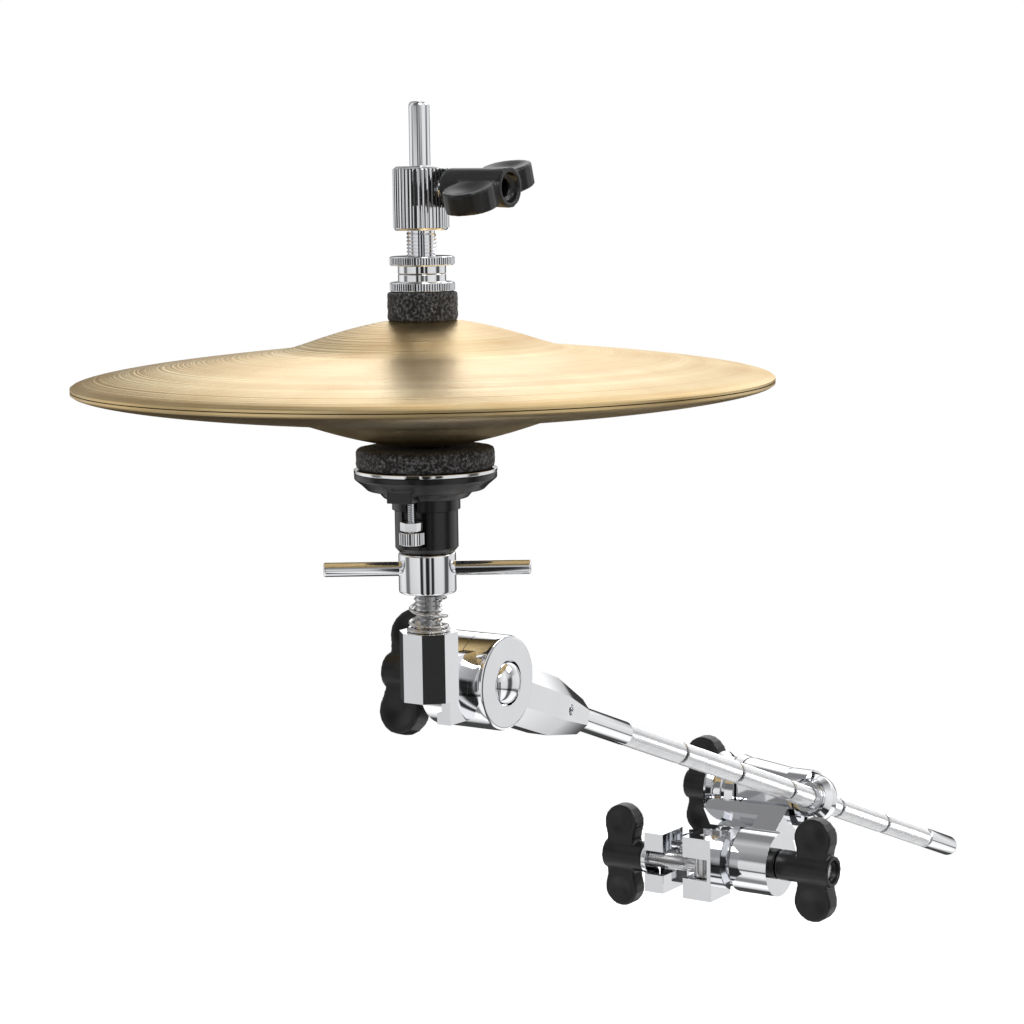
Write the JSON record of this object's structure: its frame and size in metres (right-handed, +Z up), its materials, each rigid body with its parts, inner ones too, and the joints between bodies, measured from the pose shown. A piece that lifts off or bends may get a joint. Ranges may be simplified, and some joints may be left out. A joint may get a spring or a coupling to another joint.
{
  "type": "auxiliary hi-hat arm",
  "caption": "Closed hi-hat cymbals on a pull rod, with clutch, tension nut, disc tilter, grooved boom and swivelling stand clamp.",
  "frame": {"origin": "on the axis of the stand tube the clamp holds, at the middle of the clamp's height", "axes": "+Z up along the stand tube, -X towards the cymbals, Y along the clamp and tilter screws"},
  "size_m": [0.5977, 0.254, 0.3826],
  "materials": {
    "chrome": "mirror",
    "steel": "satin",
    "zinc": "mirror",
    "plastic": "matte",
    "bronze": "satin",
    "felt": "matte"
  },
  "bodies": {
    "stand_clamp": {"stand_block": "zinc", "hinge_pin": "steel", "swivel_bolt": "steel", "stand_stud": "steel", "stud_pin": "steel"},
    "jaw": {"stand_jaw": "zinc"},
    "stand_nut": {"stand_washer": "steel"},
    "stand_grip": {"stand_wing": "plastic"},
    "swivel": {"swivel_arm": "zinc"},
    "swivel_grip": {"swivel_wing": "plastic"},
    "holder": {"front_sleeve": "zinc", "boom_eye": "zinc", "eye_bushing": "steel"},
    "boom_grip": {"boom_wing": "plastic"},
    "boom": {"boom_rod": "chrome", "boom_disc": "zinc", "neck_screw": "steel"},
    "head": {"post_disc": "zinc", "tilter_bolt": "chrome", "threaded_shaft": "steel", "pull_rod": "chrome", "shaft_spring": "steel"},
    "tilter_grip": {"tilter_washer": "steel", "tilter_wing": "plastic"},
    "seat": {"seat_housing": "plastic", "seat_cup": "plastic", "tilt_screw": "chrome", "seat_washer": "chrome", "seat_felt": "felt", "bottom_cymbal": "bronze"},
    "tension": {"tension_nut": "chrome", "tension_bar": "chrome"},
    "clutch": {"clutch_body": "chrome", "clutch_lower_nut": "chrome", "clutch_upper_nut": "chrome", "top_felt": "felt", "inner_felt": "felt", "clutch_end_nut": "steel", "top_cymbal": "bronze"},
    "clutch_grip": {"clutch_screw": "steel", "clutch_wing": "plastic"}
  },
  "joints": [
    {"name": "stand_nut_travel", "type": "slide", "parent": "stand_clamp", "child": "stand_nut", "axis": [0, 1, 0], "range_m": [-0.0001, 0.0091]},
    {"name": "stand_jaw_swing", "type": "hinge", "parent": "stand_clamp", "child": "jaw", "pos_m": [0.0205, 0, 0], "axis": [0, 0, -1], "range_deg": [-0.1, 9]},
    {"name": "stand_wing_turn", "type": "hinge", "parent": "stand_nut", "child": "stand_grip", "pos_m": [-0.02, 0.018, 0], "axis": [0, 1, 0], "range_deg": [-5, 2590]},
    {"name": "swivel_turn", "type": "hinge", "parent": "stand_clamp", "child": "swivel", "pos_m": [0, -0.03, 0], "axis": [0, 1, 0], "range_deg": [-30, 2]},
    {"name": "swivel_wing_turn", "type": "hinge", "parent": "stand_clamp", "child": "swivel_grip", "pos_m": [0, -0.05, 0], "axis": [0, 1, 0], "continuous": true},
    {"name": "holder_turn", "type": "hinge", "parent": "swivel", "child": "holder", "pos_m": [0.035, -0.0395, 0.0235], "axis": [0, 1, 0], "range_deg": [-18, 25]},
    {"name": "boom_wing_turn", "type": "hinge", "parent": "holder", "child": "boom_grip", "pos_m": [0.035, 0.01, 0.0235], "axis": [0, 1, 0], "continuous": true},
    {"name": "boom_slide", "type": "slide", "parent": "holder", "child": "boom", "axis": [0.9379, 0, -0.3469], "range_m": [-0.08, 0.1]},
    {"name": "tilt", "type": "hinge", "parent": "boom", "child": "head", "pos_m": [-0.25152, -0.0395, 0.12949], "axis": [0, 1, 0], "range_deg": [-30, 30]},
    {"name": "tilter_wing_turn", "type": "hinge", "parent": "head", "child": "tilter_grip", "pos_m": [-0.25152, -0.02, 0.12949], "axis": [0, 1, 0], "continuous": true},
    {"name": "seat_lift", "type": "slide", "parent": "head", "child": "seat", "axis": [0, 0, 1], "range_m": [-0.0081, 0.0001], "deforming": ["shaft_spring"]},
    {"name": "tension_turn", "type": "hinge", "parent": "seat", "child": "tension", "pos_m": [-0.28103, -0.0445, 0.18209], "axis": [0, 0, 1], "range_deg": [-1667, 21]},
    {"name": "clutch_lift", "type": "slide", "parent": "head", "child": "clutch", "axis": [0, 0, 1], "range_m": [0, 0.015]},
    {"name": "clutch_wing_turn", "type": "hinge", "parent": "clutch", "child": "clutch_grip", "pos_m": [-0.28103, -0.0645, 0.31394], "axis": [0, 1, 0], "continuous": true}
  ],
  "couplings": [
    {"joint": "stand_nut_travel", "follows": "stand_wing_turn", "m_per_rad": 0.00019894},
    {"joint": "stand_jaw_swing", "follows": "stand_wing_turn", "ratio": 0.0033224},
    {"joint": "tension_turn", "follows": "seat_lift", "rad_per_m": 3590.4}
  ]
}
